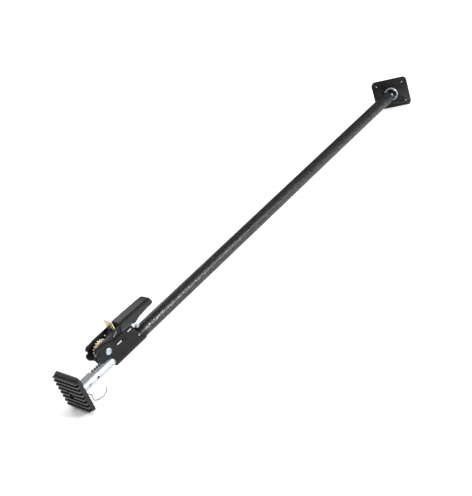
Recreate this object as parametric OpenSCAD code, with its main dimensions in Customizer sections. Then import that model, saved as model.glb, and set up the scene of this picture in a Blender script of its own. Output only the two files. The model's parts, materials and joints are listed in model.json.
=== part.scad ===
// Ratcheting load bar: a steel tube with a swivelling plate foot at one end and
// a rack jack, driven by a ratchet handle, at the other.
// Millimetres. X runs along the bar from the gripping face of the rubber foot
// (X = 0) to the plate foot, Z is up towards the handle, Y is across the bar.

/* [Bar] */
// outside diameter of the main tube
tube_d = 38.1; // [36:0.1:42]
// wall of the main tube
tube_wall = 1.6; // [1.2:0.1:2]
// from the gripping face to the middle of the plate foot, as stored
bar_length = 1605; // [1300:1:1900]
// length of the plastic sleeve on the far end of the tube
sleeve_length = 30; // [15:1:60]

/* [Jack] */
// outside diameter of the jack tube
jack_d = 28.5; // [24:0.5:28.5]
// length of the jack tube
jack_length = 486; // [420:1:640]
// distance from one rack tooth to the next
tooth_pitch = 8; // [7:0.1:9]
// width of the rack
rack_width = 9; // [7:0.5:10]
// distance from the gripping face to the first rack tooth
rack_start = 66; // [55:1:90]

/* [Ratchet] */
// distance from the gripping face to the ratchet axle
axle_x = 133; // [120:1:160]
// number of teeth on the ratchet wheel
wheel_teeth = 20; // [18:1:22]
// width of the ratchet wheel
wheel_width = 12; // [8:0.5:16]
// thickness of the housing plate
plate_t = 2.8; // [2:0.1:3.2]
// thickness of the handle arms
arm_t = 2.4; // [2:0.1:3]
// length of the hand grip
grip_length = 122; // [90:1:160]

/* [Feet] */
// width of the rubber foot
foot_width = 100; // [80:1:130]
// height of the rubber foot
foot_height = 106; // [90:1:130]
// number of ribs on the rubber foot
rib_count = 8; // [5:1:10]
// width of the plate foot
plate_width = 124; // [100:1:150]
// height of the plate foot
plate_height = 104; // [90:1:120]
// swivel angle of the plate foot, as stored
plate_angle = 25; // [0:1:28]

/* [Hidden] */
eps = 0.01;

// main tube
tr = tube_d / 2;
ti = tr - tube_wall;
mouth_x = axle_x + 21;                 // open end of the main tube
tube_end = bar_length - 33;            // closed end of the main tube

// ratchet wheel and rack
pr = wheel_teeth * tooth_pitch / (2 * PI);   // pitch radius of the wheel
pitch_z = ti - 2.9;                    // pitch line of the rack
axle_z = pitch_z + pr;
tip_r = pr + 1.8;
root_r = pr - 2.8;
tooth_a = 360 / wheel_teeth;
pawl_a = 27.6;                         // direction of the drive pawl, facing a tooth gap
hold_a = pawl_a - 2 * tooth_a;         // direction of the gap the holding pawl drops into
jr = min(jack_d / 2, (ti - 0.85 + pitch_z - 2.55) / 2);   // the jack clears the wheel teeth
jack_wall = 2;
jack_z = -(ti - 0.85 - jr);            // the jack runs along the bottom of the tube
foot_t = 17;
pin_x = 52;
foot_z = 6;                            // the foot sits this far above the tube axis
rack_n = floor((jack_length - rack_start - 8) / tooth_pitch);

// housing
hi = tr + 0.04;
ho = hi + plate_t;
arm_o = hi - 1.1;
arm_i = arm_o - arm_t;
hold_z = axle_z + (pr + 1) * sin(hold_a);   // level of the holding pawl
post_x = axle_x + 80;

// handle
lift = 3.4;                            // both pawls are stored drawn back this far, clear of the teeth
mesh_x = axle_x - pr * ((270 - pawl_a) % tooth_a) * PI / 180;   // a rack tooth in a wheel gap
grip_x = axle_x + 61;
grip_o = arm_o + 2.5;

// far swivel
ball_x = bar_length - 9;
ball_r = 10;
plate_b = 8;                           // ball centre to the back of the plate

steel_black = [0.07, 0.07, 0.08];
zinc = [0.78, 0.80, 0.82];
gold = [0.80, 0.66, 0.34];
plastic = [0.10, 0.10, 0.11];
rubber = [0.06, 0.06, 0.06];

// solid running along +X from x0 to x1
module along(x0, x1, r, y = 0, z = 0) {
    translate([x0, y, z]) rotate([0, 90, 0]) cylinder(h = x1 - x0, r = r, $fn = 64);
}
// solid running across the bar from y0 to y1
module across(x, z, y0, y1, r, fn = 48) {
    translate([x, y1, z]) rotate([90, 0, 0]) cylinder(h = y1 - y0, r = r, $fn = fn);
}
// side profile (x, z) given thickness from y0 to y1
module side(y0, y1) {
    translate([0, y1, 0]) rotate([90, 0, 0]) linear_extrude(y1 - y0) children();
}
// the same plate on both sides of the bar
module pair(y0, y1) {
    side(y0, y1) children();
    side(-y1, -y0) children();
}
// rounded rectangle in the plane across the bar, running along +X
module pad_block(x0, x1, w, h, r) {
    translate([x0, 0, 0]) rotate([90, 0, 90]) linear_extrude(x1 - x0) union() {
        square([w - 2 * r, h], center = true);
        square([w, h - 2 * r], center = true);
        for (a = [-1, 1], b = [-1, 1])
            translate([a * (w / 2 - r), b * (h / 2 - r)]) circle(r = r, $fn = 48);
    }
}
// coil spring drawn as rings on a thin sleeve
module coil(x0, x1, y, z, r, wire) {
    n = floor((x1 - x0) / (2.4 * wire));
    step = (x1 - x0 - 2 * wire) / n;
    difference() {
        union() {
            along(x0, x1, r - wire, y, z);
            for (i = [0:n])
                translate([x0 + wire + i * step, y, z]) rotate([0, 90, 0])
                    rotate_extrude($fn = 32) translate([r - wire, 0]) circle(r = wire, $fn = 16);
        }
        along(x0 - 1, x1 + 1, r - 1.6 * wire, y, z);
    }
}

module main_tube() color(steel_black) difference() {
    along(mouth_x, tube_end, tr);
    along(mouth_x - 1, tube_end + 1, ti);
    // hole for the saddle bolt
    translate([axle_x + 118, 0, 0]) cylinder(h = 30, r = 3.05, $fn = 32);
    for (s = [-1, 1])
        across(axle_x + 100, 12, s > 0 ? 5 : -22, s > 0 ? 22 : -5, 2.05, 32);
}

module housing_side() difference() {
    union() {
        // front edge with a notch, then the lower edge down to the tube
        polygon([[axle_x - 34.3, axle_z + 17], [axle_x - 30.5, axle_z + 13.5], [axle_x - 30.5, axle_z + 8.5],
                 [axle_x - 38, axle_z + 7.5], [axle_x - 39.5, axle_z - 0.5], [axle_x - 32, axle_z - 8.5],
                 [axle_x - 2, axle_z - 16], [axle_x + 5, axle_z - 20.5], [axle_x + 10, axle_z - 28],
                 [axle_x + 11, 0], [axle_x + 109, 0], [axle_x + 107, 6], [axle_x + 96, 31],
                 [axle_x + 88, axle_z + 11], [axle_x + 24, axle_z + 12.5],
                 [axle_x + 9, axle_z + 20], [axle_x - 17, axle_z + 25], [axle_x - 29, axle_z + 25.5]]);
        translate([axle_x - 31, axle_z - 0.5]) circle(r = 8.5, $fn = 48);
        translate([axle_x + 88, axle_z + 5]) circle(r = 6, $fn = 48);
    }
    translate([axle_x, axle_z]) circle(r = 6.05, $fn = 64);
    // slot of the holding pawl
    translate([axle_x + 27.4, hold_z - 1.85]) square([24.2, 3.7]);
    // slot of the spring post
    translate([post_x - 6.5, axle_z + 1.95]) square([13.1, 3.1]);
    translate([axle_x + 100, 12]) circle(r = 2.05, $fn = 32);
}

module housing() color(steel_black) {
    pair(hi, ho) housing_side();
    // wrap under the main tube
    difference() {
        along(axle_x + 11, axle_x + 121, ho);
        along(axle_x + 10, axle_x + 122, hi);
        translate([axle_x, -40, 0]) cube([140, 80, 60]);
        translate([axle_x + 110, -40, -5]) cube([40, 80, 60]);
    }
    // saddle strap over the tube
    difference() {
        along(axle_x + 110.5, axle_x + 126, ho);
        along(axle_x + 110, axle_x + 127, hi);
        translate([axle_x + 100, -40, -40]) cube([40, 80, 35]);
        translate([axle_x + 118, 0, 0]) cylinder(h = 40, r = 3.05, $fn = 32);
    }
}

module axle() color(zinc) union() {
    across(axle_x, axle_z, -ho - 0.05, ho + 0.05, 6);
    for (s = [-1, 1]) difference() {
        union() {
            across(axle_x, axle_z, s > 0 ? ho : -ho - 2.2, s > 0 ? ho + 2.2 : -ho, 8.8);
            across(axle_x, axle_z, s > 0 ? ho : -ho - 3.6, s > 0 ? ho + 3.6 : -ho, 7.2);
        }
        across(axle_x, axle_z, s > 0 ? ho + 1.6 : -ho - 5, s > 0 ? ho + 5 : -ho - 1.6, 3.6);
    }
}

module ring_across(y0, y1, r0, r1) difference() {
    across(axle_x, axle_z, y0, y1, r1);
    across(axle_x, axle_z, y0 - 1, y1 + 1, r0);
}

module axle_spacers() color(zinc) {
    for (s = [-1, 1]) {
        ring_across(s > 0 ? wheel_width / 2 + 0.3 : -arm_i + 0.3,
                    s > 0 ? arm_i - 0.3 : -wheel_width / 2 - 0.3, 6.05, 10);
        ring_across(s > 0 ? arm_o + 0.25 : -hi + 0.05, s > 0 ? hi - 0.05 : -arm_o - 0.25, 6.05, 12);
    }
}

module ratchet_wheel() color(gold) side(-wheel_width / 2, wheel_width / 2) translate([axle_x, axle_z])
    difference() {
        union() {
            circle(r = root_r, $fn = 96);
            for (i = [0:wheel_teeth - 1]) rotate(pawl_a + (i + 0.5) * tooth_a)
                polygon([[root_r - 1, -2.55], [root_r, -2.5], [pr, -1.62], [tip_r, -0.85],
                         [tip_r, 0.85], [pr, 1.62], [root_r, 2.5], [root_r - 1, 2.55]]);
        }
        circle(r = 6.06, $fn = 64);
    }

module hold_pawl() color(zinc) {
    x0 = axle_x + pr - 1.6 + lift;
    difference() {
        union() {
            side(-9, 9) polygon([[x0, hold_z - 0.7], [x0 + 3.4, hold_z - 1.7], [axle_x + 47, hold_z - 1.7],
                                 [axle_x + 47, hold_z + 1.7], [x0 + 3.4, hold_z + 1.7], [x0, hold_z + 0.7]]);
            side(-ho + 0.1, ho - 0.1) polygon([[axle_x + 31, hold_z - 1.75], [axle_x + 47, hold_z - 1.75],
                                 [axle_x + 47, hold_z + 1.75], [axle_x + 31, hold_z + 1.75]]);
        }
    }
    // spigot that carries the spring
    along(axle_x + 46, axle_x + 52, 1.6, 0, hold_z);
}

module hold_spring() color(zinc) coil(axle_x + 48.5, post_x - 4.2, 0, hold_z, 4, 0.5);

module spring_post() color(zinc) {
    side(-ho + 0.05, ho - 0.05) polygon([[post_x - 6.4, axle_z + 2], [post_x + 6.5, axle_z + 2],
                                 [post_x + 6.5, axle_z + 5], [post_x - 6.4, axle_z + 5]]);
    side(-7, 7) polygon([[post_x - 4.1, axle_z - 9], [post_x - 1.5, axle_z - 9],
                         [post_x - 1.5, axle_z + 3], [post_x - 4.1, axle_z + 3]]);
}

module side_pins() color(zinc) for (s = [-1, 1]) {
    across(axle_x + 100, 12, s > 0 ? 12 : -ho - 0.8, s > 0 ? ho + 0.8 : -12, 2);
}

module saddle_washer() color(zinc) difference() {
    translate([axle_x + 118, 0, ho - 1.8]) cylinder(h = 3, r = 7.5, $fn = 48);
    translate([axle_x + 118, 0, 0]) cylinder(h = 40, r = 3.05, $fn = 32);
    along(axle_x + 100, axle_x + 130, ho + 0.02);
}

module saddle_bolt() color(zinc) translate([axle_x + 118, 0, 0]) {
    translate([0, 0, ti - 0.2]) cylinder(h = ho + 1.3 - ti + 0.2, r = 3, $fn = 32);
    translate([0, 0, ho + 1.2]) difference() {
        union() {
            cylinder(h = 3.2, r = 5.6, $fn = 48);
            cylinder(h = 4.6, r = 4.2, $fn = 48);
        }
        translate([0, 0, 2.4]) cylinder(h = 3, r = 2.3, $fn = 6);
    }
}

module arm_side() difference() {
    union() {
        circle(r = 24, $fn = 96);
        // shank running into the grip
        polygon([[-14, 29], [-5, 30.5], [61, 31], [172, 29], [172, 15], [100, 9], [71, 7.5], [27, 2.5], [18, -14], [-18, -14]]);
        // front cam lobes with a notch between them
        polygon([[-14, 29], [-22, 28.5], [-28, 29], [-31.5, 25.5], [-33.5, 17.5], [-30, 14], [-30, 9.5],
                 [-34.5, 9.2], [-39.5, 10.5], [-42.3, 6], [-42, 0], [-39.5, -7.5], [-33, -13], [-24.5, -21],
                 [-12, -20.6], [0, 10]]);
    }
    circle(r = 6.07, $fn = 64);
    // slot of the drive pawl
    rotate(pawl_a) translate([33.6, -1.9]) square([23.8, 3.8]);
    translate([92, 18.5]) circle(r = 3.05, $fn = 32);
    translate([160, 19]) circle(r = 3.05, $fn = 32);
}

module handle_arms() color(steel_black) {
    pair(arm_i, arm_o) translate([axle_x, axle_z]) arm_side();
    // web joining the arms inside the grip
    side(-arm_i - eps, arm_i + eps) translate([axle_x, axle_z])
        polygon([[76, 24], [166, 23], [166, 25.2], [76, 26.2]]);
    side(-arm_i - eps, arm_i + eps) translate([axle_x, axle_z])
        polygon([[76, 12], [78.2, 12], [78.2, 25], [76, 25]]);
}

module grip_shape(inset = 0) translate([grip_x, axle_z]) {
    polygon([[0 + inset, 12.5], [0 + inset, 30 - inset], [5, 36 - inset], [12, 37 - inset],
             [grip_length - 14, 34 - inset], [grip_length - 6, 32 - inset], [grip_length - inset, 26],
             [grip_length - inset, 16], [grip_length - 5, 14.5], [72, 14.5],
             [50, 6.5], [41, 6], [37, 12]]);
}

module grip() color(plastic) difference() {
    side(-grip_o, grip_o) grip_shape();
    // hollow for the two arms, open below
    side(-arm_o - 0.05, arm_o + 0.05) translate([grip_x, axle_z])
        polygon([[-1, -1], [-1, 31.6], [8, 32.2], [grip_length - 8, 29.6], [grip_length - 8, 12], [80, -1]]);
    for (s = [-1, 1])
        across(axle_x + 92, axle_z + 18.5, s > 0 ? 10 : -30, s > 0 ? 30 : -10, 3.05, 32);
    across(axle_x + 160, axle_z + 19, -30, 30, 3.05, 32);
}

module grip_pins() color(steel_black) {
    across(axle_x + 92, axle_z + 18.5, -grip_o + 0.3, grip_o - 0.3, 3, 32);
    across(axle_x + 160, axle_z + 19, -grip_o + 0.3, grip_o - 0.3, 3, 32);
}

module drive_pawl() color(gold) {
    translate([axle_x, 0, axle_z]) rotate([0, -pawl_a, 0]) {
        t0 = pr - 1.4 + lift;
        side(-9, 9) polygon([[t0, -0.7], [t0 + 3.6, -1.7], [53, -1.7], [53, 1.7], [t0 + 3.6, 1.7], [t0, 0.7]]);
        side(-arm_o - 0.4, arm_o + 0.4) polygon([[37.2, -1.75], [54, -1.75], [54, 1.75], [37.2, 1.75]]);
    }
    // pull tab
    difference() {
        side(-arm_i + 0.7, arm_i - 0.7)
            polygon([[axle_x + 45.5, axle_z + 20], [axle_x + 48, axle_z + 19], [axle_x + 49, axle_z + 21],
                     [axle_x + 49, axle_z + 59], [axle_x + 46.6, axle_z + 59], [axle_x + 46.6, axle_z + 26]]);
        translate([axle_x + 40, 0, axle_z + 45]) rotate([0, 90, 0]) cylinder(h = 20, r = 4, $fn = 40);
    }
}

module drive_spring() color(zinc) coil(axle_x + 49.2, axle_x + 75.8, 0, axle_z + 20, 3.5, 0.5);

module jack_tube() color(zinc) difference() {
    along(foot_t, foot_t + jack_length, jr, 0, jack_z);
    along(foot_t - 1, foot_t + jack_length + 1, jr - jack_wall, 0, jack_z);
    across(pin_x, jack_z, -20, 20, 3.55, 32);
    across(pin_x + 28, jack_z, -20, 20, 3.7, 32);
}

module rack() color([0.32, 0.33, 0.34]) {
    len = rack_start + rack_n * tooth_pitch;
    // phase that puts a rack tooth in the lowest wheel gap
    phase = mesh_x - tooth_pitch * floor((mesh_x - rack_start) / tooth_pitch);
    difference() {
        union() {
            translate([foot_t + 0.5, -rack_width / 2, jack_z]) cube([len - foot_t - 0.5, rack_width, pitch_z - 2.3 - jack_z]);
            translate([foot_t + 0.5, -rack_width / 2, jack_z]) cube([phase - foot_t - 3, rack_width, pitch_z + 1.4 - jack_z]);
            for (i = [1:rack_n - 1]) translate([phase + i * tooth_pitch, 0, pitch_z])
                side(-rack_width / 2, rack_width / 2)
                    polygon([[-2.6, -2.5], [-1.65, 0], [-1.0, 1.7], [1.0, 1.7], [1.65, 0], [2.6, -2.5]]);
        }
        along(foot_t - 1, foot_t + jack_length + 1, jr, 0, jack_z);
    }
}

module guide_bush() color(plastic) difference() {
    along(foot_t + jack_length - 16, foot_t + jack_length + 4, ti - 0.06);
    along(foot_t + jack_length - 17, foot_t + jack_length, jr + 0.02, 0, jack_z);
    along(foot_t + jack_length - 1, foot_t + jack_length + 5, jr - 3, 0, jack_z);
    translate([foot_t + jack_length - 17, -rack_width / 2 - 0.2, 0]) cube([17.2, rack_width + 0.4, 40]);
}

module foot_post() color(zinc) difference() {
    along(13, foot_t + 52, jr - jack_wall - 0.04, 0, jack_z);
    along(5, 34, 3.05, 0, jack_z);
    across(pin_x, jack_z, -20, 20, 3.04, 32);
    across(pin_x + 28, jack_z, -20, 20, 3.7, 32);
}

module foot_plate() color(steel_black) difference() {
    translate([0, 0, foot_z]) pad_block(13.05, foot_t - 0.05, foot_width - 12, foot_height - 12, 8);
    along(5, 34, jr - jack_wall - 0.02, 0, jack_z);
}

module foot_pad() color(rubber) difference() {
    translate([0, 0, foot_z]) union() {
        pad_block(4.5, foot_t, foot_width, foot_height, 12);
        pad_block(3, 6, foot_width - 4, foot_height - 5, 11);
        for (i = [0:rib_count - 1]) {
            z = (i - (rib_count - 1) / 2) * (foot_height - 15.35) / (rib_count - 1);
            side(-foot_width / 2 + 3, foot_width / 2 - 3)
                polygon([[4, z - 4.4], [0, z - 2.6], [0, z + 2.4], [4, z + 3.6]]);
        }
    }
    translate([0, 0, foot_z]) pad_block(13, foot_t + 1, foot_width - 11.9, foot_height - 11.9, 8.05);
    // pocket moulded round the screw
    along(6.45, 11, 6.45, 0, jack_z);
    along(10, 14, 3.3, 0, jack_z);
}

module foot_screw() color(zinc) {
    along(6.5, 10.5, 6.4, 0, jack_z);
    along(10, 32, 3, 0, jack_z);
}

module bail_pin() color(zinc) {
    across(pin_x, jack_z, -jr - 4.2, jr + 4.2, 3, 32);
    difference() {
        across(pin_x, jack_z, jr + 0.6, jr + 3.4, 5.5, 32);
    }
}

// points along a smooth curve through the path
function curve(p, n) = [for (i = [0:len(p) - 2]) let (
        a = p[max(i - 1, 0)], b = p[i], c = p[i + 1], d = p[min(i + 2, len(p) - 1)])
    for (k = [0:n - 1]) let (t = k / n)
        0.5 * (2 * b + (c - a) * t + (2 * a - 5 * b + 4 * c - d) * t * t
               + (3 * b - a - 3 * c + d) * t * t * t)];
function unit(v) = v / norm(v);
function tangent(p, i) = unit(p[min(i + 1, len(p) - 1)] - p[max(i - 1, 0)]);
// sideways direction carried along the path without twisting
function sideways(p, i) = i == 0 ? unit(cross(tangent(p, 0), [0.1, 0.2, 1]))
    : let (n = sideways(p, i - 1), t = tangent(p, i)) unit(n - (n * t) * t);

// round wire swept along the points p
module wire(p, r, sides = 10) {
    rings = [for (i = [0:len(p) - 1]) let (n = sideways(p, i), m = cross(tangent(p, i), n))
        for (k = [0:sides - 1]) p[i] + r * (cos(k * 360 / sides) * n + sin(k * 360 / sides) * m)];
    last = len(p) - 1;
    polyhedron(points = rings, faces = concat(
        [[for (k = [0:sides - 1]) k]],
        [for (i = [0:last - 1], k = [0:sides - 1])
            [i * sides + k, (i + 1) * sides + k, (i + 1) * sides + (k + 1) % sides, i * sides + (k + 1) % sides]],
        [[for (k = [0:sides - 1]) last * sides + sides - 1 - k]]));
}

module bail_wire() color(zinc) {
    y = jr + 5.6;
    low = jack_z - jr;
    wire(concat(curve([[pin_x + 2, y, jack_z + 0.5], [pin_x - 4, y, jack_z - 4], [pin_x - 7, y, low + 2],
            [pin_x - 11, y - 4, low - 6], [pin_x - 13, 0, low - 8.5], [pin_x - 13, -14, low - 8],
            [pin_x - 14, -21, low - 9], [pin_x - 17, -24, low - 14], [pin_x - 15, -24, low - 21],
            [pin_x - 8, -24, low - 27], [pin_x + 4, -24, low - 31], [pin_x + 16, -24, low - 30.5],
            [pin_x + 25, -24, low - 25]], 3), [[pin_x + 29, -24, low - 17]]), 1.2);
}

module end_sleeve() color([0.08, 0.085, 0.10]) difference() {
    union() {
        along(tube_end - sleeve_length + 2, tube_end + 2, tr + 0.9);
        along(tube_end - 12, tube_end, ti - 0.03);
    }
    difference() {
        along(tube_end - sleeve_length - 1, tube_end, tr + 0.02);
        along(tube_end - 12, tube_end, ti - 0.03);
    }
    along(tube_end - 30, tube_end + 5, 6.05);
}

module ball_stud() color(zinc) union() {
    along(tube_end - 16, tube_end + 9, 6);
    along(tube_end + 8, ball_x - 5, 4);
    translate([ball_x, 0, 0]) rotate([0, 90, 0]) sphere(r = ball_r, $fn = 64);
}

module stud_nut() color(zinc) difference() {
    translate([tube_end + 2.1, 0, 0]) rotate([0, 90, 0]) cylinder(h = 5.6, r = 11, $fn = 6);
    along(tube_end, tube_end + 20, 6.02);
}

// the plate foot is drawn square to the bar and then swivelled about the ball
module swivelled() translate([ball_x, 0, 0]) rotate([0, 0, plate_angle]) translate([-ball_x, 0, 0]) children();

module turned(x) translate([x, 0, 0]) rotate([0, 90, 0]) rotate_extrude($fn = 96) children();

module ball_cup() color(steel_black) swivelled() difference() {
    union() {
        difference() {
            translate([ball_x, 0, 0]) rotate([0, 90, 0]) sphere(r = ball_r + 2.6, $fn = 64);
            translate([ball_x - 40, -30, -30]) cube([34.5, 60, 60]);
            translate([ball_x + plate_b, -30, -30]) cube([40, 60, 60]);
        }
        along(ball_x + plate_b - 2.5, ball_x + plate_b, 18.5);
    }
    for (a = [45, 135, 225, 315])
        along(ball_x, ball_x + 30, 1.52, 16.2 * cos(a), 16.2 * sin(a));
    translate([ball_x, 0, 0]) rotate([0, 90, 0]) sphere(r = ball_r + 0.06, $fn = 64);
}

module socket_ring() color(zinc) swivelled() turned(ball_x + plate_b)
    polygon([[19, 0], [23.6, 0], [23.6, -2.2], [22.9, -4.9], [21.8, -6], [20.2, -6], [19, -5]]);

module plate_holes(r) for (a = [-1, 1], b = [-1, 1])
    along(ball_x - 20, ball_x + 40, r, a * (plate_width / 2 - 17), b * (plate_height / 2 - 17));

module cup_rivets() color(zinc) swivelled() for (a = [45, 135, 225, 315]) {
    along(ball_x + plate_b - 3.4, ball_x + plate_b + 4, 1.5, 16.2 * cos(a), 16.2 * sin(a));
}

module far_plate() color(steel_black) swivelled() difference() {
    pad_block(ball_x + plate_b, ball_x + plate_b + 4, plate_width, plate_height, 14);
    along(ball_x, ball_x + 30, 8);
    for (a = [45, 135, 225, 315])
        along(ball_x, ball_x + 30, 1.55, 16.2 * cos(a), 16.2 * sin(a));
    plate_holes(2.2);
}

module far_pad() color(rubber) swivelled() difference() {
    pad_block(ball_x + plate_b + 4, ball_x + plate_b + 9, plate_width, plate_height, 14);
    plate_holes(3.6);
}

main_tube();
housing();
axle();
axle_spacers();
ratchet_wheel();
hold_pawl();
hold_spring();
spring_post();
side_pins();
saddle_bolt();
saddle_washer();
handle_arms();
grip();
grip_pins();
drive_pawl();
drive_spring();
jack_tube();
rack();
guide_bush();
foot_post();
foot_plate();
foot_pad();
foot_screw();
bail_pin();
bail_wire();
end_sleeve();
ball_stud();
stud_nut();
ball_cup();
socket_ring();
cup_rivets();
far_plate();
far_pad();
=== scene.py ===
import json
import math
import bmesh
import bpy
from mathutils import Matrix, Vector


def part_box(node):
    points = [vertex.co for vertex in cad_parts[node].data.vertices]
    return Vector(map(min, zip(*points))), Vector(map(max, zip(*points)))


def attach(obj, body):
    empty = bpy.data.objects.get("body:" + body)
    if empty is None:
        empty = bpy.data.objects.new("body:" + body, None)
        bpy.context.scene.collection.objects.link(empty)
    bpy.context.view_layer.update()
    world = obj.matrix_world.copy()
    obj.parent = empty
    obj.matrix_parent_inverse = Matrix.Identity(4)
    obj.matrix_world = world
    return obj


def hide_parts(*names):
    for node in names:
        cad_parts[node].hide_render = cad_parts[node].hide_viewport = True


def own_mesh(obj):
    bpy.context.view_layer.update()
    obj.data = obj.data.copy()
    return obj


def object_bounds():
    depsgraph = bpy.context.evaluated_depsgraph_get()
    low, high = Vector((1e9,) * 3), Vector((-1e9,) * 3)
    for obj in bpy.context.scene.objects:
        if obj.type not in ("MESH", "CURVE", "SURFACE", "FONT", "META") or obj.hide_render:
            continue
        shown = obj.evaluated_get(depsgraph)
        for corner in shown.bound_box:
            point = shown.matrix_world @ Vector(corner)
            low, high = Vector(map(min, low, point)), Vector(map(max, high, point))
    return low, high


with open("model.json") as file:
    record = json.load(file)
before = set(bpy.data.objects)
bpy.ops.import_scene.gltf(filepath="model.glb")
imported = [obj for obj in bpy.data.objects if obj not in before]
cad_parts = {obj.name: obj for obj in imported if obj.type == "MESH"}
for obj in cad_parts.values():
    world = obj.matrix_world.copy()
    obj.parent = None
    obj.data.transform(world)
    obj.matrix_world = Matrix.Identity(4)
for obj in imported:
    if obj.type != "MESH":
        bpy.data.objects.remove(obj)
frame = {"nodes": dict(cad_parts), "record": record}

cad_low, cad_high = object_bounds()
nodes = frame["nodes"]
MM = 0.001


# ---------------------------------------------------------------- finishes

EDGE_WEAR_SHEEN_RANGE = 0.53, 0.62    # how sharp an outer edge is where its paler colour starts, and where it is full: worn paint on painted parts, wear and painted highlight on mouldings
PAINT_GLOSS = 0.16          # the specular level of thin satin paint
MOULDED_GLOSS = 0.22        # and of moulded parts and hammered paint


def finish_nodes(name):
    """A new material that has only its shader, its output and the piece's own coordinates."""
    material = bpy.data.materials.new(name)
    material.use_nodes = True
    tree = material.node_tree
    tree.nodes.clear()
    output = tree.nodes.new("ShaderNodeOutputMaterial")
    shader = tree.nodes.new("ShaderNodeBsdfPrincipled")
    tree.links.new(shader.outputs["BSDF"], output.inputs["Surface"])
    place = tree.nodes.new("ShaderNodeTexCoord")
    return material, tree, shader, place.outputs["Object"]


def grain(tree, place, scale, detail=2.0, roughness=0.5, stretch=None):
    """Noise over the object, given in cells per metre."""
    if stretch:
        mapping = tree.nodes.new("ShaderNodeMapping")
        mapping.inputs["Scale"].default_value = stretch
        tree.links.new(place, mapping.inputs["Vector"])
        place = mapping.outputs["Vector"]
    noise = tree.nodes.new("ShaderNodeTexNoise")
    noise.inputs["Scale"].default_value = scale
    noise.inputs["Detail"].default_value = detail
    noise.inputs["Roughness"].default_value = roughness
    tree.links.new(place, noise.inputs["Vector"])
    return noise.outputs["Fac"]


def spread(tree, value, low, high, from_low=0.3, from_high=0.7):
    """Turns a 0 to 1 pattern into a range of numbers."""
    ranger = tree.nodes.new("ShaderNodeMapRange")
    ranger.inputs["From Min"].default_value = from_low
    ranger.inputs["From Max"].default_value = from_high
    ranger.inputs["To Min"].default_value = low
    ranger.inputs["To Max"].default_value = high
    tree.links.new(value, ranger.inputs["Value"])
    return ranger.outputs["Result"]


def tint(tree, value, dark, light):
    """Blends two colours by a 0 to 1 pattern."""
    mixer = tree.nodes.new("ShaderNodeMix")
    mixer.data_type = "RGBA"
    mixer.inputs[6].default_value = (*dark, 1)
    mixer.inputs[7].default_value = (*light, 1)
    tree.links.new(value, mixer.inputs[0])
    return mixer.outputs[2]


def cover(tree, value, under, over):
    """Puts one colour over another colour output by a 0 to 1 mask."""
    mixer = tree.nodes.new("ShaderNodeMix")
    mixer.data_type = "RGBA"
    mixer.inputs[7].default_value = (*over, 1)
    tree.links.new(value, mixer.inputs[0])
    tree.links.new(under, mixer.inputs[6])
    return mixer.outputs[2]


def relief(tree, height, distance, strength, before=None):
    """A bump of a given depth in metres, on top of an earlier one if there is one."""
    bump = tree.nodes.new("ShaderNodeBump")
    bump.inputs["Strength"].default_value = strength
    bump.inputs["Distance"].default_value = distance
    tree.links.new(height, bump.inputs["Height"])
    if before is not None:
        tree.links.new(before, bump.inputs["Normal"])
    return bump.outputs["Normal"]


def edge_wear_sheen_mask(tree):
    """A mask on sharp outer edges: where paint rubs through, and where mouldings are paler, partly from
    wear and partly as a painted highlight.
    """
    geometry = tree.nodes.new("ShaderNodeNewGeometry")
    return spread(tree, geometry.outputs["Pointiness"], 0.0, 1.0, *EDGE_WEAR_SHEEN_RANGE)


def hammered_paint():
    """Black paint full of metal flakes, dimpled as it dried."""
    material, tree, shader, place = finish_nodes("hammered_black_paint")
    cells = tree.nodes.new("ShaderNodeTexVoronoi")
    cells.feature = "SMOOTH_F1"
    cells.inputs["Scale"].default_value = 270
    cells.inputs["Smoothness"].default_value = 0.25
    tree.links.new(place, cells.inputs["Vector"])
    dimple = cells.outputs["Distance"]
    fleck = grain(tree, place, 360, 3, 0.7)
    flake = spread(tree, fleck, 0, 1, 0.47, 0.62)
    colour = tint(tree, flake, (0.003, 0.003, 0.0035), (0.105, 0.105, 0.107))
    tree.links.new(colour, shader.inputs["Base Color"])
    tree.links.new(spread(tree, flake, 0.36, 0.28, 0, 1), shader.inputs["Roughness"])
    tree.links.new(spread(tree, flake, 0.0, 0.97, 0, 1), shader.inputs["Metallic"])
    shader.inputs["Specular IOR Level"].default_value = MOULDED_GLOSS
    normal = relief(tree, dimple, 1.2 * MM, 0.45)
    tree.links.new(relief(tree, fleck, 0.5 * MM, 0.4, normal), shader.inputs["Normal"])
    return material


def satin_paint():
    """Thin black paint with a fine peel, worn grey on its edges."""
    material, tree, shader, place = finish_nodes("satin_black_paint")
    cloud = grain(tree, place, 45, 4, 0.6)
    peel = grain(tree, place, 1500, 2, 0.5)
    dark, light, bare = (0.0025, 0.0025, 0.003), (0.0055, 0.0055, 0.006), (0.03, 0.03, 0.032)
    colour = tint(tree, spread(tree, cloud, 0, 1), dark, light)
    colour = cover(tree, edge_wear_sheen_mask(tree), colour, bare)
    shader.inputs["Specular IOR Level"].default_value = PAINT_GLOSS
    tree.links.new(colour, shader.inputs["Base Color"])
    tree.links.new(spread(tree, cloud, 0.34, 0.46), shader.inputs["Roughness"])
    tree.links.new(relief(tree, peel, 0.12 * MM, 0.4), shader.inputs["Normal"])
    return material


def plated(name, dark, light, rough_low, rough_high, spangle, metal):
    """Zinc plate, clouded in its colour and drawn along the bar in its shine."""
    material, tree, shader, place = finish_nodes(name)
    cloud = grain(tree, place, spangle, 3, 0.55)
    drawn = grain(tree, place, 260, 3, 0.6, stretch=(0.15, 1.0, 1.0))
    colour = tint(tree, spread(tree, cloud, 0, 1), dark, light)
    tree.links.new(colour, shader.inputs["Base Color"])
    tree.links.new(spread(tree, drawn, rough_low, rough_high), shader.inputs["Roughness"])
    shader.inputs["Metallic"].default_value = metal
    tree.links.new(relief(tree, drawn, 0.1 * MM, 0.25), shader.inputs["Normal"])
    return material


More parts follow.
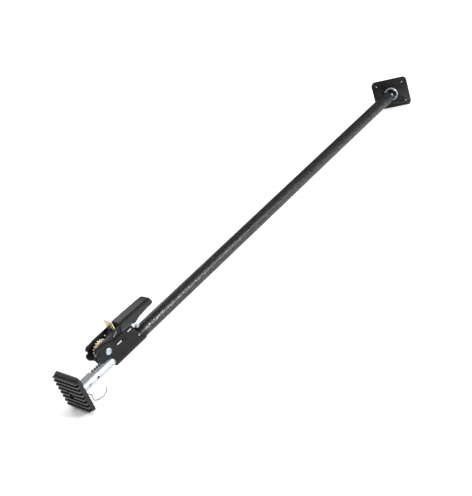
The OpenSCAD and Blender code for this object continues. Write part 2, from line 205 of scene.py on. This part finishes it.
def rack_steel():
    """Bare steel, dark with oil."""
    material, tree, shader, place = finish_nodes("oiled_rack_steel")
    cloud = grain(tree, place, 220, 4, 0.6)
    colour = tint(tree, spread(tree, cloud, 0, 1), (0.10, 0.10, 0.105), (0.21, 0.21, 0.215))
    tree.links.new(colour, shader.inputs["Base Color"])
    tree.links.new(spread(tree, cloud, 0.38, 0.55), shader.inputs["Roughness"])
    shader.inputs["Metallic"].default_value = 0.85
    tree.links.new(relief(tree, cloud, 0.2 * MM, 0.3), shader.inputs["Normal"])
    return material


def moulded(name, dark, light, rough_low, rough_high, texture=900, depth=0.12 * MM, wear_and_sheen=2.2):
    """Plastic or rubber with a moulded texture, paler by a given factor on its edges, where it is
    partly worn and partly painted highlight.
    """
    material, tree, shader, place = finish_nodes(name)
    cloud = grain(tree, place, 60, 3, 0.55)
    pores = grain(tree, place, texture, 3, 0.6)
    colour = tint(tree, spread(tree, cloud, 0, 1), dark, light)
    # paler edges on the mouldings: part wear, part painted highlight
    colour = cover(tree, edge_wear_sheen_mask(tree), colour, tuple(c * wear_and_sheen for c in light))
    tree.links.new(colour, shader.inputs["Base Color"])
    tree.links.new(spread(tree, pores, rough_low, rough_high), shader.inputs["Roughness"])
    tree.links.new(relief(tree, pores, depth, 0.5), shader.inputs["Normal"])
    shader.inputs["Specular IOR Level"].default_value = MOULDED_GLOSS
    return material


FINISH = {
    "hammered_paint": hammered_paint(),
    "black_paint": satin_paint(),
    "zinc": plated("bright_zinc_plate", dark=(0.35, 0.39, 0.43), light=(0.49, 0.54, 0.58),
                   rough_low=0.28, rough_high=0.42, spangle=160, metal=0.66),
    "yellow_zinc": plated("yellow_zinc_plate", dark=(0.50, 0.40, 0.23), light=(0.78, 0.68, 0.44),
                          rough_low=0.22, rough_high=0.36, spangle=90, metal=0.8),
    "rack_steel": rack_steel(),
    "grip_plastic": moulded("grip_plastic", dark=(0.007, 0.007, 0.008), light=(0.013, 0.013, 0.015),
                            rough_low=0.34, rough_high=0.48, wear_and_sheen=4),
    "sleeve_plastic": moulded("sleeve_plastic", dark=(0.006, 0.007, 0.009), light=(0.012, 0.014, 0.018),
                              rough_low=0.22, rough_high=0.32),
    # the foot's edges are painted eight times paler: a painted highlight along the rib edges
    "foot_rubber": moulded("foot_rubber", dark=(0.008, 0.008, 0.009), light=(0.016, 0.016, 0.017),
                           rough_low=0.34, rough_high=0.50, texture=700, depth=0.2 * MM, wear_and_sheen=8),
}
slot_of = {row["node"]: row["material_slot"] for row in frame["record"]["subparts"]}
bodies = frame["record"]["behaviour"]["bodies"]
body_of = {node: body for body, members in bodies.items() for node in members}
for node_name, node in nodes.items():
    node.data.materials.clear()
    node.data.materials.append(FINISH[slot_of[node_name]])


# ---------------------------------------------------------------- stage, light and camera

FLOOR_SIZE = 60
FLOOR_GAP = 0.5 * MM        # keeps the floor clear of the lowest point
FLOOR_COLOUR = 0.90, 0.90, 0.90
FLOOR_ROUGH = 0.9
ROOM_GLOW = 0.62
SKY_POWER = 1.9
SKY_WIDTH = 100             # degrees across, so its shadows are soft
SKY_TILT = -8, 22           # degrees about x and y
LENS = 60.24
FILM = 36
EYE = -0.7092, -1.6085, 1.1514
EYE_RIGHT = 0.59507, -0.73861, -0.31678
EYE_UP = 0.56794, 0.10759, 0.81601


def floor_finish():
    """Matt pale paper, with a barely seen cloud."""
    material, tree, shader, place = finish_nodes("pale_floor")
    cloud = spread(tree, grain(tree, place, 3, 2), 0, 1)
    colour = tint(tree, cloud, FLOOR_COLOUR, tuple(c * 1.01 for c in FLOOR_COLOUR))
    tree.links.new(colour, shader.inputs["Base Color"])
    shader.inputs["Roughness"].default_value = FLOOR_ROUGH
    return material


def make_stage():
    bpy.ops.object.select_all(action="DESELECT")
    bpy.ops.mesh.primitive_plane_add(size=FLOOR_SIZE, location=(0, 0, cad_low.z - FLOOR_GAP))
    floor = bpy.context.object
    floor.name = "floor"
    bpy.ops.object.transform_apply(location=True, rotation=True, scale=True)
    floor.data.materials.append(floor_finish())


def soft_light(name, place, aim, size, power):
    """A rectangular soft box that faces the aim."""
    data = bpy.data.lights.new(name, "AREA")
    data.shape = "RECTANGLE"
    data.size, data.size_y = size
    data.energy = power
    lamp = bpy.data.objects.new(name, data)
    bpy.context.scene.collection.objects.link(lamp)
    lamp.location = place
    lamp.rotation_mode = "QUATERNION"
    lamp.rotation_quaternion = (Vector(place) - Vector(aim)).to_track_quat("Z", "Y")


def make_light():
    """A white room and a wide sky that aren't mirrored in the metal, and two soft boxes that are."""
    scene = bpy.context.scene
    world = bpy.data.worlds.new("studio")
    scene.world = world
    world.use_nodes = True
    background = world.node_tree.nodes["Background"]
    background.inputs["Color"].default_value = (1, 1, 1, 1)
    background.inputs["Strength"].default_value = ROOM_GLOW
    world.cycles_visibility.glossy = False
    sky = bpy.data.lights.new("sky", "SUN")
    sky.energy = SKY_POWER
    sky.angle = math.radians(SKY_WIDTH)
    lamp = bpy.data.objects.new("sky", sky)
    scene.collection.objects.link(lamp)
    lamp.rotation_euler = (math.radians(SKY_TILT[0]), math.radians(SKY_TILT[1]), 0)
    lamp.visible_glossy = False
    soft_light("side_box", place=(1.4, -2.75, 1.0), aim=(0.35, 0, 0), size=(1.0, 0.7), power=150)
    soft_light("top_box", place=(1.4, 2.7, 2.0), aim=(0.1, 0, 0), size=(1.6, 1.0), power=34)
    scene.view_settings.view_transform = "Standard"


def make_camera():
    data = bpy.data.cameras.new("camera")
    data.sensor_width = FILM
    data.lens = LENS
    data.clip_start, data.clip_end = 0.05, 100
    camera = bpy.data.objects.new("camera", data)
    bpy.context.scene.collection.objects.link(camera)
    right, up = Vector(EYE_RIGHT), Vector(EYE_UP)
    turn = Matrix((right, up, right.cross(up))).transposed()
    camera.matrix_world = Matrix.Translation(EYE) @ turn.to_4x4()
    bpy.context.scene.camera = camera


# ---------------------------------------------------------------- bench helpers

CREASE = 32                 # degrees, past which the shading keeps an edge
ROUND_CREASE = 60           # the same for wire


def take(piece):
    """Leaves edit mode and makes the piece the only one selected."""
    if bpy.context.object and bpy.context.object.mode != "OBJECT":
        bpy.ops.object.mode_set(mode="OBJECT")
    bpy.ops.object.select_all(action="DESELECT")
    piece.select_set(True)
    bpy.context.view_layer.objects.active = piece


def open_up(piece):
    """Into edit mode, with nothing selected."""
    take(piece)
    bpy.ops.object.mode_set(mode="EDIT")
    bpy.ops.mesh.select_all(action="DESELECT")


def close_up():
    bpy.ops.object.mode_set(mode="OBJECT")


def settle(piece):
    """Puts the piece's place into its mesh, so its object stays at the origin."""
    take(piece)
    bpy.ops.object.transform_apply(location=True, rotation=True, scale=True)


def block(name, low, high):
    """A box between two corners."""
    bpy.ops.object.select_all(action="DESELECT")
    middle = [(a + b) / 2 for a, b in zip(low, high)]
    bpy.ops.mesh.primitive_cube_add(size=1, location=middle, scale=[b - a for a, b in zip(low, high)])
    piece = bpy.context.object
    piece.name = name
    settle(piece)
    return piece


def bar_stock(name, start, end, radius, sides=48):
    """A round bar between two points."""
    bpy.ops.object.select_all(action="DESELECT")
    start, end = Vector(start), Vector(end)
    turn = (end - start).to_track_quat("Z", "Y").to_euler()
    bpy.ops.mesh.primitive_cylinder_add(vertices=sides, radius=radius, depth=(end - start).length,
                                        location=(start + end) / 2, rotation=turn)
    piece = bpy.context.object
    piece.name = name
    settle(piece)
    return piece


def pick_faces(piece, wanted):
    """Selects faces by their middle and normal, in edit mode."""
    bpy.ops.mesh.select_mode(type="FACE")
    bpy.ops.mesh.select_all(action="DESELECT")
    mesh = bmesh.from_edit_mesh(piece.data)
    for face in mesh.faces:
        if wanted(face.calc_center_median(), face.normal):
            face.select = True
    mesh.select_flush_mode()
    bmesh.update_edit_mesh(piece.data)


def pick_edges(piece, wanted):
    """Selects edges by their two ends, in edit mode."""
    bpy.ops.mesh.select_mode(type="EDGE")
    bpy.ops.mesh.select_all(action="DESELECT")
    mesh = bmesh.from_edit_mesh(piece.data)
    for edge in mesh.edges:
        if wanted(edge.verts[0].co, edge.verts[1].co):
            edge.select = True
    mesh.select_flush_mode()
    bmesh.update_edit_mesh(piece.data)


def pick_points(piece, wanted):
    """Selects points by their place, in edit mode."""
    bpy.ops.mesh.select_mode(type="VERT")
    bpy.ops.mesh.select_all(action="DESELECT")
    mesh = bmesh.from_edit_mesh(piece.data)
    for point in mesh.verts:
        if wanted(point.co):
            point.select = True
    mesh.select_flush_mode()
    bmesh.update_edit_mesh(piece.data)


def slice_at(place, normal):
    """Adds a line of edges all round where a plane crosses the piece."""
    bpy.ops.mesh.select_all(action="SELECT")
    bpy.ops.mesh.bisect(plane_co=place, plane_no=normal)


def shift(x=0.0, y=0.0, z=0.0):
    bpy.ops.transform.translate(value=(x, y, z))


def squeeze(x=1.0, y=1.0, z=1.0, about=(0, 0, 0)):
    bpy.ops.transform.resize(value=(x, y, z), center_override=about)


def pull(x=0.0, y=0.0, z=0.0):
    """Extrudes what is selected."""
    bpy.ops.mesh.extrude_region_move(TRANSFORM_OT_translate={"value": (x, y, z)})


def smooth(piece, degrees):
    take(piece)
    bpy.ops.object.shade_smooth_by_angle(angle=math.radians(degrees))


def work(piece, kind, **values):
    """Adds a modifier and applies it."""
    take(piece)
    modifier = piece.modifiers.new(kind.lower(), kind)
    for key, value in values.items():
        setattr(modifier, key, value)
    bpy.ops.object.modifier_apply(modifier=modifier.name)


def cut(piece, *tools, solver="EXACT"):
    """Cuts each tool out of the piece and puts the tool away."""
    for tool in tools:
        work(piece, "BOOLEAN", object=tool, operation="DIFFERENCE", solver=solver)
        bpy.data.objects.remove(tool)


def tidy_mesh(piece):
    """Merges doubled points and turns every face outwards."""
    open_up(piece)
    bpy.ops.mesh.select_all(action="SELECT")
    bpy.ops.mesh.remove_doubles(threshold=0.002 * MM)
    bpy.ops.mesh.normals_make_consistent(inside=False)
    close_up()


def break_edges(piece, width, segments=2, angle=35):
    """Rounds every edge sharper than the angle, then smooths the shading between the rounds."""
    work(piece, "BEVEL", width=width, segments=segments, limit_method="ANGLE",
         angle_limit=math.radians(angle), harden_normals=False, use_clamp_overlap=True,
         miter_outer="MITER_ARC")
    smooth(piece, CREASE)
    work(piece, "WEIGHTED_NORMAL", weight=50, keep_sharp=True)


def fit(piece, slot_name, *cad):
    """Gives the piece its finish and its body, and lets it stand for its CAD nodes."""
    piece.data.materials.clear()
    piece.data.materials.append(FINISH[slot_name])
    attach(piece, body_of[cad[0]])
    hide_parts(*cad)
    return piece


def softened(node, name, width, segments=2):
    """The node's own shape with its edges broken."""
    mesh = nodes[node].data.copy()
    piece = bpy.data.objects.new(name, mesh)
    bpy.context.scene.collection.objects.link(piece)
    open_up(piece)
    bpy.ops.mesh.select_all(action="SELECT")
    bpy.ops.mesh.remove_doubles(threshold=0.005 * MM)
    bpy.ops.mesh.dissolve_limited(angle_limit=math.radians(0.6))
    bpy.ops.mesh.normals_make_consistent(inside=False)
    close_up()
    break_edges(piece, width, segments)
    return fit(piece, slot_of[node], node)


# ---------------------------------------------------------------- pieces

def make_rivet():
    """The ratchet axle, with a turned groove round the dimple of each riveted head."""
    groove_outer, groove_inner, groove_deep = 6.3 * MM, 4.9 * MM, 1.2 * MM
    rivet = softened("axle", "axle_rivet", 0.35 * MM)
    low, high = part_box("axle")
    x, z = (low.x + high.x) / 2, (low.z + high.z) / 2
    for face, inward in ((low.y, 1), (high.y, -1)):
        groove = bar_stock("groove", (x, face - inward * MM, z), (x, face + inward * groove_deep, z),
                           groove_outer)
        core = bar_stock("core", (x, face - inward * 2 * MM, z), (x, face + inward * 2 * MM, z),
                         groove_inner)
        cut(groove, core)
        cut(rivet, groove, solver="MANIFOLD")


def make_foot_pad():
    """The rubber foot: eight ribs across its tread and a recess behind for the steel plate."""
    ribs, pitch = 8, 12.95 * MM
    rib_half = 3.6 * MM
    groove_deep = 6.2 * MM
    skin = 0.25 * MM            # rubber left between a groove's floor and the screw's clearance
    low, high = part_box("foot_pad")
    tread, ledge, back = low.x, low.x + groove_deep, high.x
    centre = (low.z + high.z) / 2

    def at_back(c, n):
        return n.x > 0.9 and c.x > back - 0.1 * MM

    pad = block("ribbed_foot_pad", (ledge, low.y, low.z), (back, high.y, high.z))
    open_up(pad)
    pick_edges(pad, lambda a, b: abs(a.x - b.x) > 5 * MM)
    bpy.ops.mesh.bevel(offset=12 * MM, segments=6, affect="EDGES")
    # the sides lean in towards the tread
    slice_at((back - 3.5 * MM, 0, 0), (1, 0, 0))
    pick_points(pad, lambda p: p.x < ledge + 0.1 * MM)
    squeeze(y=0.965, z=0.95, about=(0, 0, centre))
    # each rib rises from a pair of lines and narrows to the tread
    levels = [centre + (i - (ribs - 1) / 2) * pitch for i in range(ribs)]
    for level in levels:
        slice_at((0, 0, level - rib_half), (0, 0, 1))
        slice_at((0, 0, level + rib_half), (0, 0, 1))
    for level in levels:
        pick_faces(pad, lambda c, n, z=level: n.x < -0.9 and abs(c.z - z) < rib_half - 0.2 * MM)
        pull(x=tread - ledge)
        squeeze(y=0.985, z=0.64, about=(tread, 0, level))
    # recess behind for the steel plate
    pick_faces(pad, at_back)
    bpy.ops.mesh.dissolve_faces()
    pick_faces(pad, at_back)
    bpy.ops.mesh.inset(thickness=6 * MM, use_even_offset=True)
    pull(x=-4 * MM)
    close_up()
    tidy_mesh(pad)
    # a moulded notch in the two middle ribs, and the screw's clearance behind
    below, above = 5.2 * MM, 3.9 * MM
    floor = ledge - 0.4 * MM
    notch = block("notch", (tread - MM, -8 * MM, levels[3] - below), (floor, 9 * MM, levels[3] + above))
    nick = block("nick", (tread - MM, 5 * MM, levels[4] - below), (floor, 11 * MM, levels[4] + above))
    jack_low, jack_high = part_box("jack_tube")
    level = (jack_low.z + jack_high.z) / 2
    clearance = bar_stock("clearance", (ledge + skin, 0, level), (30 * MM, 0, level), 6.6 * MM, 32)
    cut(pad, notch, nick, clearance, solver="MANIFOLD")
    break_edges(pad, 0.6 * MM, 2, 30)
    fit(pad, "foot_rubber", "foot_pad")


def make_grip():
    """The lever's moulded grip: a hollow shell over the two arms, crowned and rolled off at its tip."""
    low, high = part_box("grip")
    end = (high.x - low.x) / MM
    arm = 15.65 * MM            # outer face of each arm, from the middle
    slack = 2.45 * MM
    shoulder = high.z - 6.5 * MM
    bottom = low.z + 7 * MM
    # millimetres along the grip: how far the belly drops or rises, and how far the crown falls
    belly = ((41, -6.5), (50, -6.0), (37, -0.6), (72, 1.6), (96, 1.8),
             (end - 14, 1.8), (end - 5, 2.2), (end, 3.5))
    crown = ((0, 4.5), (5, 0.9), (28, 0.4), (37, 0.5), (41, 0.6), (50, 0.8), (72, 1.4), (96, 2.1),
             (end - 14, 2.8), (end - 5, 4.6), (end, 9.5))
    grip = block("lever_grip", (low.x, low.y, bottom), high)
    open_up(grip)
    for x in (5, 12, 28, 37, 41, 50, 72, 96, end - 14, end - 5):
        slice_at((low.x + x * MM, 0, 0), (1, 0, 0))
    slice_at((0, 0, shoulder), (0, 0, 1))
    slice_at((0, 0, bottom + 7 * MM), (0, 0, 1))

    def at(x, low_z, high_z):
        pick_points(grip, lambda p: abs(p.x - low.x - x * MM) < 0.2 * MM and low_z <= p.z <= high_z)

    for x, rise in belly:
        at(x, bottom - MM, bottom + MM)
        shift(z=rise * MM)
    for x, fall in crown:
        at(x, shoulder + MM, high.z + MM)
        shift(z=-fall * MM)
        at(x, shoulder - MM, shoulder + MM)
        shift(z=-min(fall, 5.0) * MM)
    # the top is narrower than the sides
    pick_points(grip, lambda p: p.z > shoulder + 0.6 * MM
                or (p.x > high.x - MM and p.z > shoulder - 6 * MM))
    squeeze(y=0.66)
    pick_points(grip, lambda p: p.x > high.x - MM)
    squeeze(y=0.86)
    pick_points(grip, lambda p: p.z < bottom + 6.5 * MM and p.x > low.x + 60 * MM)
    squeeze(y=0.95)
    # a shallow finger panel let into each side
    for side in (-1, 1):
        pick_faces(grip, lambda c, n, s=side: n.y * s > 0.9 and bottom + 6 * MM < c.z < shoulder
                   and low.x + 12 * MM < c.x < high.x - 14 * MM)
        bpy.ops.mesh.inset(thickness=1.6 * MM, use_even_offset=True)
        pull(y=-side * 1.1 * MM)
    close_up()
    hollow = block("hollow", (low.x - MM, -arm - slack, low.z - 5 * MM),
                   (high.x - 9 * MM, arm + slack, shoulder - 1.2 * MM))
    cut(grip, hollow)
    tidy_mesh(grip)
    break_edges(grip, 1.3 * MM, 3, 24)
    fit(grip, "grip_plastic", "grip")


def make_pawl_plate():
    """The drive pawl's plate, with a thinned edge, held across both arms by its ears; its dark steel
    finish is painted shade.
    """
    lean = math.radians(27.6)
    near, far = 27.5 * MM, 54 * MM      # from the axle, along the plate
    half_wide, half_thick = 9 * MM, 1.7 * MM
    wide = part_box("drive_pawl")[1].y
    axle_low, axle_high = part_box("axle")
    centre = Vector(((axle_low.x + axle_high.x) / 2, 0, (axle_low.z + axle_high.z) / 2))
    plate = block("pawl_plate", (centre.x + near, -half_wide, centre.z - half_thick),
                  (centre.x + far, half_wide, centre.z + half_thick))
    open_up(plate)
    slice_at((centre.x + 31 * MM, 0, 0), (1, 0, 0))
    slice_at((centre.x + 37.2 * MM, 0, 0), (1, 0, 0))
    pick_points(plate, lambda p: p.x < centre.x + 28 * MM)
    squeeze(z=0.42, about=centre)
    for side in (-1, 1):
        pick_faces(plate, lambda c, n, s=side: n.y * s > 0.9 and c.x > centre.x + 37.3 * MM)
        pull(y=side * (wide - half_wide))
    bpy.ops.mesh.select_all(action="SELECT")
    bpy.ops.transform.rotate(value=lean, orient_axis="Y", center_override=centre)
    close_up()
    tidy_mesh(plate)
    break_edges(plate, 0.3 * MM)
    return plate, centre


def make_pull_tab(centre):
    """The bright tab on the drive pawl: it faces the foot, with a bent lip and folded rims."""
    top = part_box("drive_pawl")[1].z
    face, half, thick = centre.x + 46.6 * MM, 14.8 * MM, 1.6 * MM
    rim = 3.2 * MM
    tab = block("pull_tab", (face, -half, centre.z + 19.6 * MM), (face + thick, half, top - 2.2 * MM))
    open_up(tab)
    slice_at((0, 0, top - 8 * MM), (0, 0, 1))
    slice_at((0, 0, centre.z + 27 * MM), (0, 0, 1))
    slice_at((0, half - rim, 0), (0, 1, 0))
    slice_at((0, -half + rim, 0), (0, 1, 0))
    # the lip narrows and leans forward
    pick_points(tab, lambda p: p.z > top - 3 * MM)
    squeeze(y=0.93)
    pick_points(tab, lambda p: p.z > top - 3 * MM)
    shift(x=-1.1 * MM, z=1.6 * MM)
    # the rims fold back
    for side in (-1, 1):
        pick_faces(tab, lambda c, n, s=side: n.x > 0.9 and c.y * s > half - rim - 0.2 * MM
                   and c.z < top - 7 * MM)
        pull(x=0.75 * MM)
    close_up()
    tidy_mesh(tab)
    cut(tab, block("window", (face - 5 * MM, -9.5 * MM, centre.z + 30 * MM),
                   (face + 8 * MM, -6.5 * MM, centre.z + 44 * MM)))
    break_edges(tab, 0.35 * MM)
    return tab


def make_drive_pawl():
    plate, centre = make_pawl_plate()
    tab = make_pull_tab(centre)
    # dark oiled steel on the plate is painted shade for the shadow between the arms; the tab stays
    # yellow zinc
    fit(plate, "rack_steel", "drive_pawl")
    fit(tab, "yellow_zinc", "drive_pawl")


def make_bail():
    """Spring wire bent in one run, from the lock pin's head round under the jack."""
    pin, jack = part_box("bail_pin"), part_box("jack_tube")
    wire_radius = 1.15 * MM
    across = (pin[0].x + pin[1].x) / 2
    level = (jack[0].z + jack[1].z) / 2
    side = jack[1].y + 5.6 * MM
    out, mid, low = side / MM, level / MM, jack[0].z / MM
    # millimetres: x from the pin, y and z in the frame
    bends = [(2, out, mid + 0.5), (-4, out, mid - 4), (-7, out, low + 2), (-11, out - 4, low - 6),
             (-13, 0, low - 8.5), (-13, -14, low - 8), (-14, -21, low - 9), (-17, -24, low - 14),
             (-15, -24, low - 21), (-8, -24, low - 27), (4, -24, low - 31), (16, -24, low - 30.5),
             (25, -24, low - 25), (29, -24, low - 17)]
    line = bpy.data.curves.new("bail_line", "CURVE")
    line.dimensions = "3D"
    run = line.splines.new("BEZIER")
    run.bezier_points.add(len(bends) - 1)
    for point, (x, y, z) in zip(run.bezier_points, bends):
        point.co = (across + x * MM, y * MM, z * MM)
        point.handle_left_type = point.handle_right_type = "AUTO"
    line.bevel_depth = wire_radius
    line.bevel_resolution = 3
    line.resolution_u = 8
    line.use_fill_caps = True
    wire = bpy.data.objects.new("wire_bail", line)
    bpy.context.scene.collection.objects.link(wire)
    take(wire)
    bpy.ops.object.convert(target="MESH")
    wire = bpy.context.object
    tidy_mesh(wire)
    smooth(wire, ROUND_CREASE)
    fit(wire, "rack_steel", "bail_wire")


def make_coil(node, name, wire, turns):
    """A wound spring with closed ends."""
    sides, steps = 10, 20
    low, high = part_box(node)
    middle = (low + high) / 2
    radius = (high.z - low.z) / 2 - wire
    bpy.ops.object.select_all(action="DESELECT")
    bpy.ops.mesh.primitive_circle_add(vertices=sides, radius=wire, fill_type="NGON",
                                      location=(0, 0, radius), rotation=(math.pi / 2, 0, 0))
    coil = bpy.context.object
    coil.name = name
    settle(coil)
    work(coil, "SCREW", axis="X", angle=turns * 2 * math.pi, screw_offset=high.x - low.x - 2 * wire,
         steps=steps * turns, render_steps=steps * turns, use_merge_vertices=True,
         use_smooth_shade=True)
    open_up(coil)
    bpy.ops.mesh.select_all(action="SELECT")
    shift(x=low.x + wire, y=middle.y, z=middle.z)
    close_up()
    tidy_mesh(coil)
    open_up(coil)
    bpy.ops.mesh.select_all(action="SELECT")
    bpy.ops.mesh.fill_holes(sides=sides)
    close_up()
    smooth(coil, ROUND_CREASE)
    fit(coil, "zinc", node)
    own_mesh(coil)


# ---------------------------------------------------------------- the making

make_foot_pad()
make_grip()
make_drive_pawl()
make_bail()
make_coil("drive_spring", "lever_spring", 0.55 * MM, 9)
make_coil("hold_spring", "latch_spring", 0.5 * MM, 8)
softened("housing", "stamped_housing", 0.45 * MM)
softened("handle_arms", "lever_arms", 0.4 * MM)
make_rivet()
nodes["ball_stud"].data.materials[0] = FINISH["rack_steel"]
wheel = softened("ratchet_wheel", "toothed_wheel", 0.2 * MM, 1)
# the wheel's plate is painted paler than yellow zinc, a painted highlight that makes up for the arms'
# shade over it
wheel.data.materials[0] = plated("wheel_plate_with_painted_highlight", dark=(0.76, 0.60, 0.45), light=(0.96, 0.84, 0.68),
                                 rough_low=0.22, rough_high=0.38, spangle=90, metal=0.35)
softened("far_plate", "wall_plate", 0.6 * MM)
softened("saddle_bolt", "saddle_screw", 0.3 * MM)
softened("socket_ring", "domed_ring", 0.5 * MM)
softened("foot_plate", "foot_backing", 0.5 * MM)
softened("rack", "toothed_rack", 0.25 * MM, 1)
softened("end_sleeve", "tube_end_sleeve", 0.6 * MM)
softened("far_pad", "wall_pad", 0.7 * MM)
softened("ball_cup", "pressed_cup", 0.4 * MM)

make_stage()
make_light()
make_camera()
